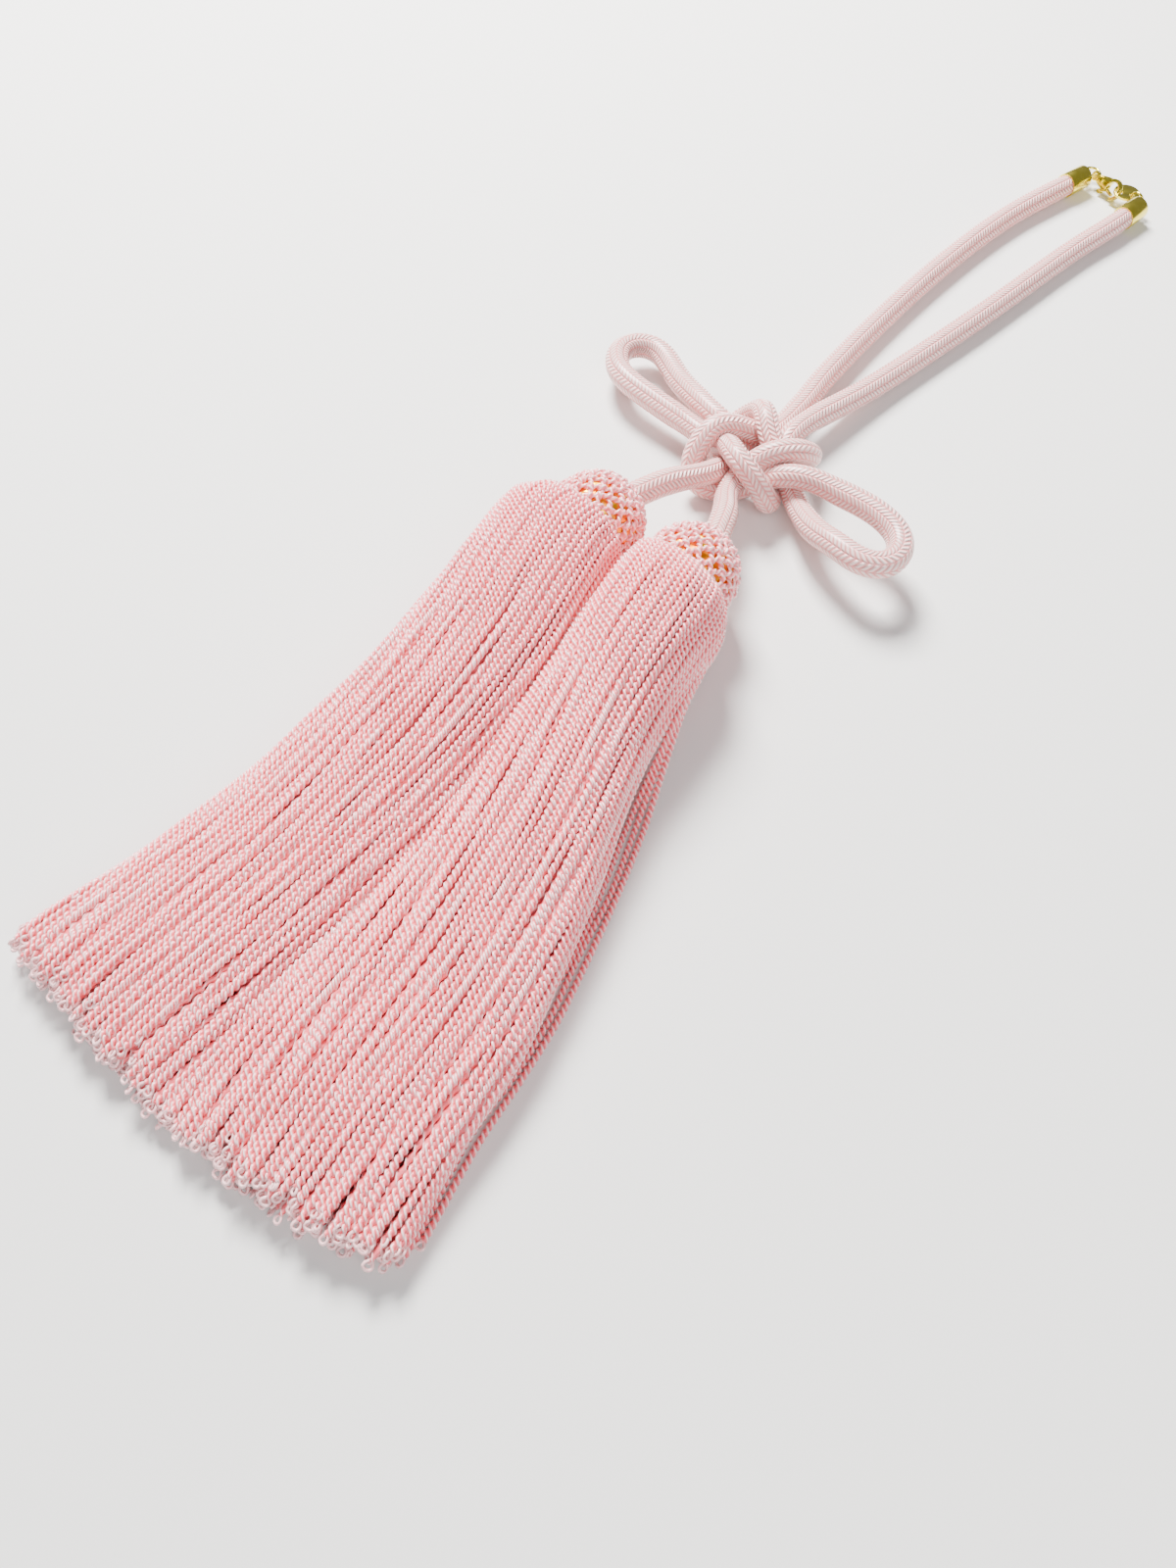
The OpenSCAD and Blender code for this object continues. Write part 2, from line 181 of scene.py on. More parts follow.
# Foil domes: how far inside the net and past the rim, and from where, how many and how close the dents are
DOME_GAP = 0.00155
DOME_FOOT = 0.0045
DENTED_FROM = -0.0043
DENTS = 14
DENT_RATE = 900
DENT_DEPTH = 0.012

# Nets: the rows that a cord runs through, from where and how much it thins, and how much it swells at knots
NET_ROWS = (-2.4, 7.0)
NET_POINTS = 70
NET_THINS = 4.5
NET_THINNING = 0.2
NET_SWELL = 0.18

# How far a net's cords sway in columns, weave over and under, and flare under the rim
NET_SWAY = 0.14
NET_SWAY_RATE = 1.7
NET_WEAVE = 0.0003
NET_FLARE = 0.12
NET_TWIST = 0.0032
NET_STEP = 0.0005

# Rings of cord round the top of a net: their angles from the head's way, and the length of a turn
RING_ANGLES = np.radians(np.linspace(19, 43, 6))
RING_TWIST = 0.003

# Where a strand leaves its head: how far below the rim and how far inside it
RIM_RADIUS = 0.0124
HANG_STARTS = ((0.0005, 0.0022), (0.004, 0.0006))

# Gap between a fringe's stations, points in one's outline, and how square the outline is above, on the floor
# and where the two fringes meet, where 1 is round
STATION_STEP = 0.006
OUTLINE_POINTS = 241
TOP_POWER = 0.88
FLOOR_POWER = 0.7
MEETING_POWER = 0.72

# Strands lie straight above this place, and stray fully this much lower
STEADY_ABOVE = -0.045
STEADY_FADE = 0.045

# Waves that bunch strands: how far, how many round the outline, how long along the fringe, and the phase
BUNCHES = ((0.0005, 6.3, 0.13, 0), (0.00034, 11, -0.071, 1.3))

# Each strand's own waves: aside and inwards
WANDER = 0.00026
WANDER_LENGTH = 0.055
DIP = 0.00022
DIP_LENGTH = 0.038

# How soon a parting opens, and how far round it pushes strands, as a share of the outline
PARTING_EASE = 0.02
PARTING_REACH = 0.06

# Cut at a fringe's end: middle, place, bow left and right, rounding of its corners, lean and strands' spread
END_MIDDLE = 0.008
END_PLACE = -0.2058
END_BOWS = (1.5, 3.0)
END_CORNER = 0.051
END_ROUNDING = 200
END_LEAN = 0.12
END_SPREAD = 0.0012
SHORT_SHARE = 0.07
SHORT_BY = (0.003, 0.014)

LOOP_LENGTHS = (0.0017, 0.0023)
LOOP_WIDTHS = (0.0009, 0.0013)
LOOP_TUCK = 0.0004
LOOP_LEAN = 0.6
LOOP_CORNERS = 12

# How much strands differ, and where and how soon the painted shade on strands of lower layers fades out
# towards their ends
WIDTH_SHARES = (0.95, 1.05)
TWIST_SHARES = (0.93, 1.08)
PALE_PLACE = -0.203
PALE_LENGTH = 0.014

# Layers of a fringe's strands are this far inside its outline
TOP_INSET = 0.0007
SECOND_INSET = 0.0015

# Body under the strands: how far inside, its first ring's radius, from and to where, and its corners
BACKING_INSET = 0.0025
BACKING_TOP = 0.009
BACKING_SPAN = (-0.184, -0.05)
BACKING_CORNERS = 40

# Layers of the ends under the cut: strands, how far inside, from and to what angle, and how much painted
# shade they get for lying under the top
END_LAYERS = ((36, 0.0027, (-14, 194), 0.2), (26, 0.0038, (-6, 186), 0.2), (28, 0.002, (205, 335), 0.1))
END_START = -0.184

# Lamps: place, width, the setting that holds the power, and colour
LAMPS = (
    ("key_light", (-0.55, 0.35, 0.75), 0.35, "key_power", (1.0, 0.985, 0.97)),
    ("fill_light", (0.55, -0.45, 0.65), 0.6, "fill_power", (0.97, 0.985, 1.0)),
)
LAMP_AIM = Vector((0, -0.05, 0))


def a_number(name, description, default, low, high, kind=FloatProperty, **more):
    return kind(name=name, description=description, default=default, min=low, max=high, **more)


def a_length(*values):
    return a_number(*values, unit="LENGTH")


def a_color(name, description, default):
    return FloatVectorProperty(
        name=name, description=description, default=default, size=3, min=0, max=1, subtype="COLOR")


class CordSettings(bpy.types.PropertyGroup):
    """Sizes and colours of the braided cords"""

    diameter: a_length("Cord Diameter", "Diameter of the braided cord", 0.007, 0.005, 0.009)
    tight_diameter: a_length(
        "Diameter in the Knot", "Diameter where the knot pulls the cord tight", 0.0064, 0.004, 0.009)
    end_diameter: a_length(
        "Diameter in the Cap", "Diameter of the cord's end inside its cap", 0.0066, 0.005, 0.0066)
    knot_pull: a_number("Knot Pull", "Size of the tight knot as a share of the slack one", 0.85, 0.8, 1)
    columns: a_number(
        "Braid Columns", "Columns of ribs round the cord, two for each ear of wheat", 10, 4, 16, IntProperty)
    rib_step: a_number(
        "Rib Spacing", "Distance from rib to rib along the cord, in millimetres", 1.3, 0.5, 3)
    # Painted highlight: the crown colour is the light on top of each rib
    crown_highlight_color: a_color("Crown Colour", "Colour on top of each rib", (1.0, 0.78, 0.73))
    color: a_color("Cord Colour", "Colour of the cord's silk", (0.98, 0.50, 0.46))
    # Painted shade: the crease colour is the shade between the ribs
    crease_shade_color: a_color("Crease Colour", "Colour between the ribs", (0.86, 0.19, 0.19))


class NetSettings(bpy.types.PropertyGroup):
    """Sizes and colours of the netted heads"""

    radius: a_length("Head Radius", "Outside radius of a netted head", 0.013, 0.012, 0.014)
    cord_radius: a_length(
        "Net Cord Radius", "Radius of the twisted cord of the net", 0.00084, 0.0004, 0.001)
    columns: a_number("Net Columns", "Gaps in one row of the net", 19, 12, 30, IntProperty)
    row_angle: a_number(
        "Row Step", "Angle from one row of knots to the next", math.radians(10), math.radians(5),
        math.radians(15), unit="ROTATION")
    foil_color: a_color("Foil Colour", "Colour of the foil under the net", (0.95, 0.28, 0.0))
    glint_color: a_color("Foil Glint", "Colour of the foil's bright creases", (1.0, 0.70, 0.0))


class FringeSettings(bpy.types.PropertyGroup):
    """Sizes and colours of the fringes"""

    strand_radius: a_length(
        "Strand Radius", "Half the width of a twisted strand", 0.00088, 0.0005, 0.0012)
    turn_length: a_length("Turn Length", "Length of one whole turn of the twist", 0.0031, 0.002, 0.01)
    strands: a_number(
        "Top Strands", "Strands in the outermost layer of each fringe", 46, 20, 48, IntProperty)
    # Painted highlight: the crown colour lies along the top of each ply
    crown_highlight_color: a_color("Crown Colour", "Colour along the top of each ply", (1.0, 0.87, 0.86))
    flank_color: a_color("Flank Colour", "Colour of each ply beside its crown", (0.98, 0.20, 0.22))
    # Painted shade in the grooves between plies
    groove_shade_color: a_color("Groove Colour", "Colour in the grooves between plies", (0.86, 0.06, 0.10))
    # Painted shade on strands that lie under the top ones, and on the backing
    under_shade_color: a_color("Deep Colour", "Colour of strands under the top ones", (0.94, 0.17, 0.20))


class GoldSettings(bpy.types.PropertyGroup):
    """Finish of the small metal findings"""

    color: a_color("Gold Colour", "Colour of the gold plating", (0.84, 0.69, 0.06))
    edge: a_length("Edge Rounding", "Width of the rounding along each metal edge", 0.0001, 0, 0.0003)


class StageSettings(bpy.types.PropertyGroup):
    """Floor and light"""

    floor_color: a_color("Floor Colour", "Colour of the plain floor", (0.80, 0.79, 0.77))
    key_power: a_number("Key Light", "Power of the main light, in watts", 50, 0, 200)
    fill_power: a_number("Fill Light", "Power of the second light, in watts", 7, 0, 200)


def sum_of(operation, swapped=False):
    """A method that makes one sum of a wire and another value"""
    def method(self, other):
        values = (other, self) if swapped else (self, other)
        return self.shader.maths(operation, *values)
    return method


class Wire:
    """One output of a shader node, which sums can be written with"""

    def __init__(self, shader, socket):
        self.shader = shader
        self.socket = socket

    def maths(self, operation, *others):
        return self.shader.maths(operation, self, *others)

    def __abs__(self):
        return self.maths("ABSOLUTE")

    __add__ = sum_of("ADD")
    __radd__ = sum_of("ADD", swapped=True)
    __sub__ = sum_of("SUBTRACT")
    __rsub__ = sum_of("SUBTRACT", swapped=True)
    __mul__ = sum_of("MULTIPLY")
    __rmul__ = sum_of("MULTIPLY", swapped=True)
    __truediv__ = sum_of("DIVIDE")
    __pow__ = sum_of("POWER")
    __mod__ = sum_of("FLOORED_MODULO")
    __gt__ = sum_of("GREATER_THAN")


class Shader:
    """A material whose nodes are each made by one call"""

    def __init__(self, name):
        self.material = bpy.data.materials.new(name)
        self.material.use_nodes = True
        self.tree = self.material.node_tree
        self.tree.nodes.clear()

    def node(self, kind, settings=None, sockets=None, out=0):
        """A new node of this type, its settings set first, then its sockets' values or links"""
        made = self.tree.nodes.new(kind)
        for name, value in (settings or {}).items():
            setattr(made, name, value)
        for name, value in (sockets or {}).items():
            if isinstance(value, Wire):
                self.tree.links.new(value.socket, made.inputs[name])
            else:
                made.inputs[name].default_value = value
        return Wire(self, made.outputs[out]) if made.outputs else None

    def maths(self, operation, *values):
        """One sum of up to three numbers or wires"""
        return self.node("ShaderNodeMath", {"operation": operation}, dict(enumerate(values)))

    def split(self, vector):
        """The three parts of a vector"""
        parts = self.node("ShaderNodeSeparateXYZ", None, {0: vector}).socket.node.outputs
        return [Wire(self, part) for part in parts]

    def ramp(self, factor, *stops):
        """The colour that a factor picks among stops, each a place and its colour"""
        made = self.node("ShaderNodeValToRGB", None, {0: factor})
        elements = made.socket.node.color_ramp.elements
        while len(elements) < len(stops):
            elements.new(0.5)
        for element, (place, color) in zip(elements, stops):
            element.position = place
            element.color = opaque(color)
        return made

    def mix(self, factor, *colors):
        """Two colours mixed by a factor"""
        first, second = (color if isinstance(color, Wire) else opaque(color) for color in colors)
        return self.node(
            "ShaderNodeMix", {"data_type": "RGBA"}, {0: factor, 6: first, 7: second}, out=2)

    def noise(self, vector, scale, detail=2.0):
        return self.node("ShaderNodeTexNoise", None, {"Vector": vector, "Scale": scale, "Detail": detail})

    def stretched(self, vector, scale):
        """A pattern's coordinates, stretched along each axis"""
        return self.node("ShaderNodeVectorMath", {"operation": "MULTIPLY"}, {0: vector, 1: scale})

    def bump(self, height, distance, strength):
        sockets = {"Height": height, "Distance": distance, "Strength": strength}
        return self.node("ShaderNodeBump", None, sockets)

    def surface(self, sockets):
        """The shader itself, joined to the material's output"""
        shown = self.node("ShaderNodeBsdfPrincipled", None, sockets)
        self.node("ShaderNodeOutputMaterial", None, {"Surface": shown})
        return self.material


def opaque(color):
    return (color[0], color[1], color[2], 1.0)


def cord_finish(settings):
    """Silk braided in ears of wheat, its ribs pale with painted highlight and its creases pinker with painted
    shade
    """
    shader = Shader("braided_silk")
    place = shader.node("ShaderNodeUVMap", {"uv_map": "braid"})
    around, along = shader.split(place)[:2]
    column = around * settings.columns
    across = column.maths("FRACT")
    slope = 1 - 2 * (column % 2 > 1)
    rib_slant = 1.2
    step = along / settings.rib_step + slope * (across - 0.5) * rib_slant
    rib = 1 - abs(2 * step.maths("FRACT") - 1)
    crown = 1 - abs(2 * across - 1)
    grain = rib ** 0.8 * (crown * 2.6).maths("MINIMUM", 1.0) ** 0.6
    fibres = shader.noise(shader.stretched(place, (90.0, 3.0, 1.0)), 1.0, detail=3.0)
    patches = shader.noise(shader.stretched(place, (1.0, 0.05, 1.0)), 1.0)
    # crease is where painted shade goes between the ribs; the ramp's crown stop is painted highlight on them
    crease = (1 - grain) ** 1.3
    tint = shader.ramp(
        crease, (0.06, settings.crown_highlight_color), (0.42, settings.color), (1.0, settings.crease_shade_color))
    tint = shader.mix((fibres - 0.5) * 0.30 + 0.10 * patches, tint, (1.0, 0.91, 0.88))
    normal = shader.bump(grain + 0.06 * fibres, 0.00050, 1.0)
    return shader.surface({
        "Base Color": tint, "Roughness": 0.36 + 0.25 * crease, "Normal": normal,
        "Specular IOR Level": 0.7, "Coat Weight": 0.5, "Coat Roughness": 0.25,
    })


def strand_finish(name, settings, whiten=0.0):
    """Two twisted plies of silk: crowns pale with painted highlight, pink flanks, and painted shade as deeper
    pink in grooves and on strands under the top
    """
    shader = Shader(name)
    marks = shader.node("ShaderNodeAttribute", {"attribute_name": "thread"}, out="Vector")
    groove, depth, tone = shader.split(marks)
    place = shader.node("ShaderNodeUVMap", {"uv_map": "ply"})
    fibres = shader.noise(shader.stretched(place, (26.0, 1.3, 1.0)), 1.0)
    # The ramp paints highlight on ply crowns and shade in grooves; the next mix paints shade on strands under
    # the top layer
    tint = shader.ramp(
        groove, (0.02, settings.crown_highlight_color), (0.28, settings.flank_color), (1.0, settings.groove_shade_color))
    tint = shader.mix(depth * (0.35 + 0.65 * groove), tint, settings.under_shade_color)
    tint = shader.mix(tone * 0.14 + (fibres - 0.5) * 0.30, tint, settings.groove_shade_color)
    if whiten:
        tint = shader.mix(whiten, tint, (1.0, 0.95, 0.93))
    normal = shader.bump(fibres, 0.00006, 0.8)
    return shader.surface({
        "Base Color": tint, "Roughness": 0.34 + 0.25 * groove, "Normal": normal,
        "Specular IOR Level": 0.7, "Coat Weight": 0.6, "Coat Roughness": 0.2,
    })


def backing_finish(settings):
    """The body under the strands, dim with painted shade and streaked along its length"""
    shader = Shader("backing_silk")
    place = shader.node("ShaderNodeTexCoord", out="Object")
    streaks = shader.noise(shader.stretched(place, (700.0, 40.0, 700.0)), 1.0)
    tint = shader.mix(streaks * 0.5, settings.under_shade_color, settings.groove_shade_color)
    return shader.surface({
        "Base Color": tint, "Roughness": 0.6 + 0.2 * streaks, "Normal": shader.bump(streaks, 0.0006, 0.9),
    })


def foil_finish(settings):
    """Crinkled orange-gold foil"""
    shader = Shader("crinkled_foil")
    place = shader.node("ShaderNodeTexCoord", out="Object")
    crinkle = shader.node("ShaderNodeTexVoronoi", {"feature": "F1"}, {"Vector": place, "Scale": 700.0})
    drift = shader.noise(place, 240.0, detail=3.0)
    glint = shader.ramp(drift, (0.46, settings.foil_color), (0.62, settings.glint_color))
    normal = shader.bump(crinkle * 0.8 + drift, 0.0004, 0.8)
    return shader.surface({
        "Base Color": glint, "Metallic": 1.0, "Roughness": 0.26 + 0.25 * crinkle, "Normal": normal,
    })


def gold_finish(settings):
    """Polished gold plating with faint rubbed marks"""
    shader = Shader("gold_plating")
    place = shader.node("ShaderNodeTexCoord", out="Object")
    cloud = shader.noise(place, 420.0, detail=3.0)
    marks = shader.noise(shader.stretched(place, (2400.0, 500.0, 900.0)), 1.0)
    # Cloudy patches of paler yellow are a painted highlight
    tint = shader.mix(cloud * 0.35, settings.color, (0.97, 0.88, 0.24))
    return shader.surface({
        "Base Color": tint, "Metallic": 1.0, "Roughness": 0.13 + 0.14 * cloud,
        "Normal": shader.bump(marks, 0.00001, 0.5),
    })


def floor_finish(settings):
    """A plain pale floor with a very fine tooth"""
    shader = Shader("pale_floor")
    place = shader.node("ShaderNodeTexCoord", out="Object")
    tooth = shader.noise(place, 900.0)
    tint = shader.mix(tooth * 0.06, settings.floor_color, (0.70, 0.69, 0.67))
    return shader.surface({
        "Base Color": tint, "Roughness": 0.75 + 0.1 * tooth, "Specular IOR Level": 0.2,
    })


def eased(values):
    """From 0 to 1 without a kink at either end"""
    values = np.clip(values, 0, 1)
    return values * values * (3 - 2 * values)


def unit(vectors):
    length = np.linalg.norm(vectors, axis=-1, keepdims=True)
    return vectors / np.maximum(length, 1e-12)


def lengths_along(points):
    steps = np.linalg.norm(np.diff(points, axis=0), axis=1)
    return np.concatenate([[0.0], np.cumsum(steps)])


def evenly(points, step):
    """The same line with its points this far apart, where the first three columns are its place"""
    along = lengths_along(points[:, :3])
    count = max(2, int(round(along[-1] / step)) + 1)
    places = np.linspace(0.0, along[-1], count)
    return np.column_stack([np.interp(places, along, column) for column in points.T])


def between(t, low, high, first, second):
    """What is first at low and second at high, at t"""
    return (high - t) / (high - low) * first + (t - low) / (high - low) * second


def smooth_line(points, step):
    """A smooth line through the points, which doesn't swing wide at uneven spacings"""
    points = np.asarray(points, float)
    padded = np.vstack([2 * points[0] - points[1], points, 2 * points[-1] - points[-2]])
    knots = np.concatenate([[0.0], np.cumsum(np.sqrt(np.linalg.norm(np.diff(padded, axis=0), axis=1)))])
    samples = 16
    line = [points[:1]]
    for i in range(1, len(padded) - 2):
        k0, k1, k2, k3 = knots[i - 1:i + 3]
        t = np.linspace(k1, k2, samples + 1)[1:, None]
        a1 = between(t, k0, k1, padded[i - 1], padded[i])
        a2 = between(t, k1, k2, padded[i], padded[i + 1])
        a3 = between(t, k2, k3, padded[i + 1], padded[i + 2])
        line.append(between(t, k1, k2, between(t, k0, k2, a1, a2), between(t, k1, k3, a2, a3)))
    return evenly(np.vstack(line), step)


def softened(points, reach):
    """The line with each point moved to the average of those this many places round it, its ends kept"""
    before = 2 * points[0] - points[reach:0:-1]
    after = 2 * points[-1] - points[-2:-reach - 2:-1]
    padded = np.vstack([before, points, after])
    total = sum(padded[i:i + len(points)] for i in range(2 * reach + 1))
    return total / (2 * reach + 1)


def headings(points):
    return unit(np.gradient(points, axis=0))


def carried_sides(points):
    """A side direction at each point, carried along the line without twist"""
    ways = headings(points)
    start = np.cross(ways[0], (0.0, 0.0, 1.0))
    sides = [start / np.linalg.norm(start)]
    for way in ways[1:]:
        side = sides[-1] - np.dot(sides[-1], way) * way
        sides.append(side / np.linalg.norm(side))
    return np.array(sides)


def placed(name, data):
    """The object of this mesh, light or camera, in the scene"""
    made = bpy.data.objects.new(name, data)
    bpy.context.scene.collection.objects.link(made)
    return made


def aimed(name, data, place, way):
    """A camera or lamp at this place that looks this way"""
    made = placed(name, data)
    made.location = place
    made.rotation_mode = "QUATERNION"
    made.rotation_quaternion = Vector(way).to_track_quat("-Z", "Y")
    return made


def finished(name, bm, material):
    """The object of a mesh under construction, shaded smooth"""
    for face in bm.faces:
        face.smooth = True
    mesh = bpy.data.meshes.new(name)
    bm.to_mesh(mesh)
    bm.free()
    mesh.materials.append(material)
    return placed(name, mesh)


class Weft:
    """Swept lines gathered into one mesh, with a mark and a place on the thread at each corner"""

    def __init__(self):
        self.points = []
        self.marks = []
        self.quads = []
        self.places = []
        self.caps = []
        self.cap_places = []
        self.count = 0

    def sweep(self, path, outward, profile, radius, twist=0.0, turn=0.0, depth=0.0, tone=0.0, closed=False):
        """Adds one line: its path, a way that is outward at each point, and its profile, twisted"""
        n = len(path)
        k = len(profile)
        if closed:
            ways = unit(np.roll(path, -1, axis=0) - np.roll(path, 1, axis=0))
        else:
            ways = headings(path)
        first = unit(outward - np.sum(outward * ways, axis=1, keepdims=True) * ways)
        second = np.cross(ways, first)
        along = lengths_along(path)
        angles, reach = np.array(profile, float).T
        turned = 2 * math.pi * along / twist if twist else np.zeros(n)
        swing = np.radians(angles) + turn - turned[:, None]
        out = np.broadcast_to(radius, (n,))[:, None] * reach
        ring = (path[:, None] + (out * np.cos(swing))[..., None] * first[:, None]
                + (out * np.sin(swing))[..., None] * second[:, None])
        self.points.append(ring.reshape(-1, 3))
        # Marks at each corner: between painted highlight on a crown and painted shade in a groove, how much
        # painted shade for lying under the top strands, and a random tone
        groove = (1 - reach) / GROOVE_DEPTH if min(reach) < 1 else np.full(k, ROUND_MARK)
        marks = np.empty((n, k, 3))
        marks[..., 0] = groove
        marks[..., 1] = np.broadcast_to(depth, (n,))[:, None]
        marks[..., 2] = tone
        self.marks.append(marks.reshape(-1, 3))
        rings = n if closed else n - 1
        j = np.arange(rings)[:, None]
        i = np.arange(k)[None, :]
        after = (j + 1) % n
        beside = (i + 1) % k
        quads = np.stack([j * k + i, j * k + beside, after * k + beside, after * k + i], axis=-1)
        self.quads.append(quads.reshape(-1, 4) + self.count)
        mm = along / MM
        if closed:
            mm = np.append(mm, mm[-1] + np.linalg.norm(path[0] - path[-1]) / MM)
        u = np.broadcast_to(i / k, (rings, k))
        v, later = (np.broadcast_to(part[:, None], (rings, k)) for part in (mm[:rings], mm[1:rings + 1]))
        corners = np.stack([u, v, u + 1 / k, v, u + 1 / k, later, u, later], axis=-1)
        self.places.append(corners.reshape(-1, 2))
        if not closed:
            around = np.arange(k)
            for cap, first_corner, place in ((around[::-1], 0, mm[0]), (around, (n - 1) * k, mm[-1])):
                self.caps.append(cap + first_corner + self.count)
                self.cap_places.append(np.column_stack([cap / k, np.full(k, place)]))
        self.count += n * k

    def make(self, name, uv_name, material):
        """The mesh object of all the lines"""
        points = np.concatenate(self.points)
        quads = np.concatenate(self.quads)
        loops = np.concatenate([quads.reshape(-1)] + self.caps).astype(np.int32)
        sizes = np.concatenate([np.full(len(quads), 4), [len(cap) for cap in self.caps]]).astype(np.int32)
        starts = np.concatenate([[0], np.cumsum(sizes)[:-1]]).astype(np.int32)
        mesh = bpy.data.meshes.new(name)
        mesh.vertices.add(len(points))
        mesh.vertices.foreach_set("co", points.astype(np.float32).reshape(-1))
        mesh.loops.add(len(loops))
        mesh.loops.foreach_set("vertex_index", loops)
        mesh.polygons.add(len(sizes))
        mesh.polygons.foreach_set("loop_start", starts)
        mesh.polygons.foreach_set("use_smooth", np.ones(len(sizes), bool))
        mesh.update(calc_edges=True)
        layer = mesh.uv_layers.new(name=uv_name)
        places = np.concatenate(self.places + self.cap_places).astype(np.float32)
        layer.data.foreach_set("uv", places.reshape(-1))
        marks = mesh.attributes.new("thread", "FLOAT_VECTOR", "POINT")
        marks.data.foreach_set("vector", np.concatenate(self.marks).astype(np.float32).reshape(-1))
        mesh.validate()
        mesh.materials.append(material)
        return placed(name, mesh)


def soft_piece(piece, slot, *nodes):
    """A piece of the tassel's body, standing for these nodes, which are hidden; the slot is not used"""
    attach(piece, "tassel")
    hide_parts(*nodes)
    return piece


def head_axes(side):
    """A head's rim middle, its way towards the cord, and the two ways across its rim"""
    middle, way = (np.array(values) for values in HEADS[side])
    way = unit(way)
    across = unit(np.cross(way, (0.0, 0.0, 1.0)))
    return middle, way, across, np.cross(across, way)


def spokes_of(turns, across, up):
    """The ways out from a head's middle at these turns"""
    return np.cos(turns)[:, None] * across + np.sin(turns)[:, None] * up


class UndoableStep:
    bl_options = {"REGISTER", "UNDO"}


class TASSEL_OT_camera(UndoableStep, bpy.types.Operator):
    """Adds the camera, which looks down on the lying tassel from the right of its fringes"""

    bl_idname = "tassel.camera"
    bl_label = "Camera"

    def execute(self, context):
        data = bpy.data.cameras.new("camera")
        data.sensor_width = 36
        data.lens = 27.05
        data.clip_start = 0.01
        data.clip_end = 20
        context.scene.camera = aimed("camera", data, (0.1147, -0.2036, 0.237), (-0.333, 0.402, -0.853))
        return {"FINISHED"}


class TASSEL_OT_cords(UndoableStep, bpy.types.Operator):
    """Lays the two braided cords along their routes, drawn in and thinner where the knot is tight"""

    bl_idname = "tassel.cords"
    bl_label = "Braided Cords"

    def path(self, route, settings):
        """The middle of a cord from its cap to its head, and its radius at each point"""
        line = route.copy()
        away = np.linalg.norm(line[:, :2] - KNOT_MIDDLE, axis=1)
        spread = eased((away - DRAWN_REACH) / (DRAWN_OUTSIDE - DRAWN_REACH))
        pull = settings.knot_pull + (1 - settings.knot_pull) * spread
        line[:, :2] = KNOT_MIDDLE + pull[:, None] * (line[:, :2] - KNOT_MIDDLE)
        line[:, 2] *= pull
        line = smooth_line(line, CORD_STEP)
        away = np.linalg.norm(line[:, :2] - KNOT_MIDDLE, axis=1)
        slack = eased((away - DRAWN_REACH) / KNOT_EASE + 0.5)
        radius = (settings.tight_diameter + slack * (settings.diameter - settings.tight_diameter)) / 2
        out_of_cap = eased((lengths_along(line) - CAP_DEPTH) / CAP_EASE)
        radius += (1 - out_of_cap) * (settings.end_diameter - settings.diameter) / 2
        rise = line[:, 2] - radius
        line[:, 2] = radius + (rise + np.sqrt(rise * rise + FLOOR_EASE)) / 2
        return softened(softened(line, 2), 1), radius

    def execute(self, context):
        settings = context.scene.tassel_cords
        material = cord_finish(settings)
        profile = [(360 * i / CORD_CORNERS, 1) for i in range(CORD_CORNERS)]
        for side, route in ROUTES.items():
            path, radius = self.path(route, settings)
            weft = Weft()
            weft.sweep(path, carried_sides(path), profile, radius)
            cord = soft_piece(weft.make("braid_" + side, "braid", material), "cord", "cord_" + side)
            way = unit((route[1] - route[0]) * (1, 1, 0))
            route[0] + CAP_DEPTH * way
        return {"FINISHED"}


class TASSEL_OT_findings(UndoableStep, bpy.types.Operator):
    """Rounds the edges of the gold caps, rings, clasp and plate"""

    bl_idname = "tassel.findings"
    bl_label = "Gold Findings"

    def execute(self, context):
        settings = context.scene.tassel_gold
        material = gold_finish(settings)
        for node, body in GOLD_PIECES:
            bm = bmesh.new()
            bm.from_mesh(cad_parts[node].data)
            bmesh.ops.remove_doubles(bm, verts=bm.verts, dist=0.000004)
            bmesh.ops.dissolve_limit(
                bm, angle_limit=math.radians(1), use_dissolve_boundaries=False, verts=bm.verts,
                edges=bm.edges)
            sharp = [edge for edge in bm.edges
                     if len(edge.link_faces) == 2 and edge.calc_face_angle(0) > ROUNDED_ANGLE]
            if sharp and settings.edge > 0:
                bmesh.ops.bevel(
                    bm, geom=sharp, offset=settings.edge, offset_type="OFFSET", affect="EDGES", segments=2,
                    profile=0.5, material=-1, clamp_overlap=True)
            piece = finished("gold_" + node, bm, material)
            piece.data.set_sharp_from_angle(angle=SHADED_ANGLE)
            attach(piece, body)
            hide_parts(node)
        return {"FINISHED"}


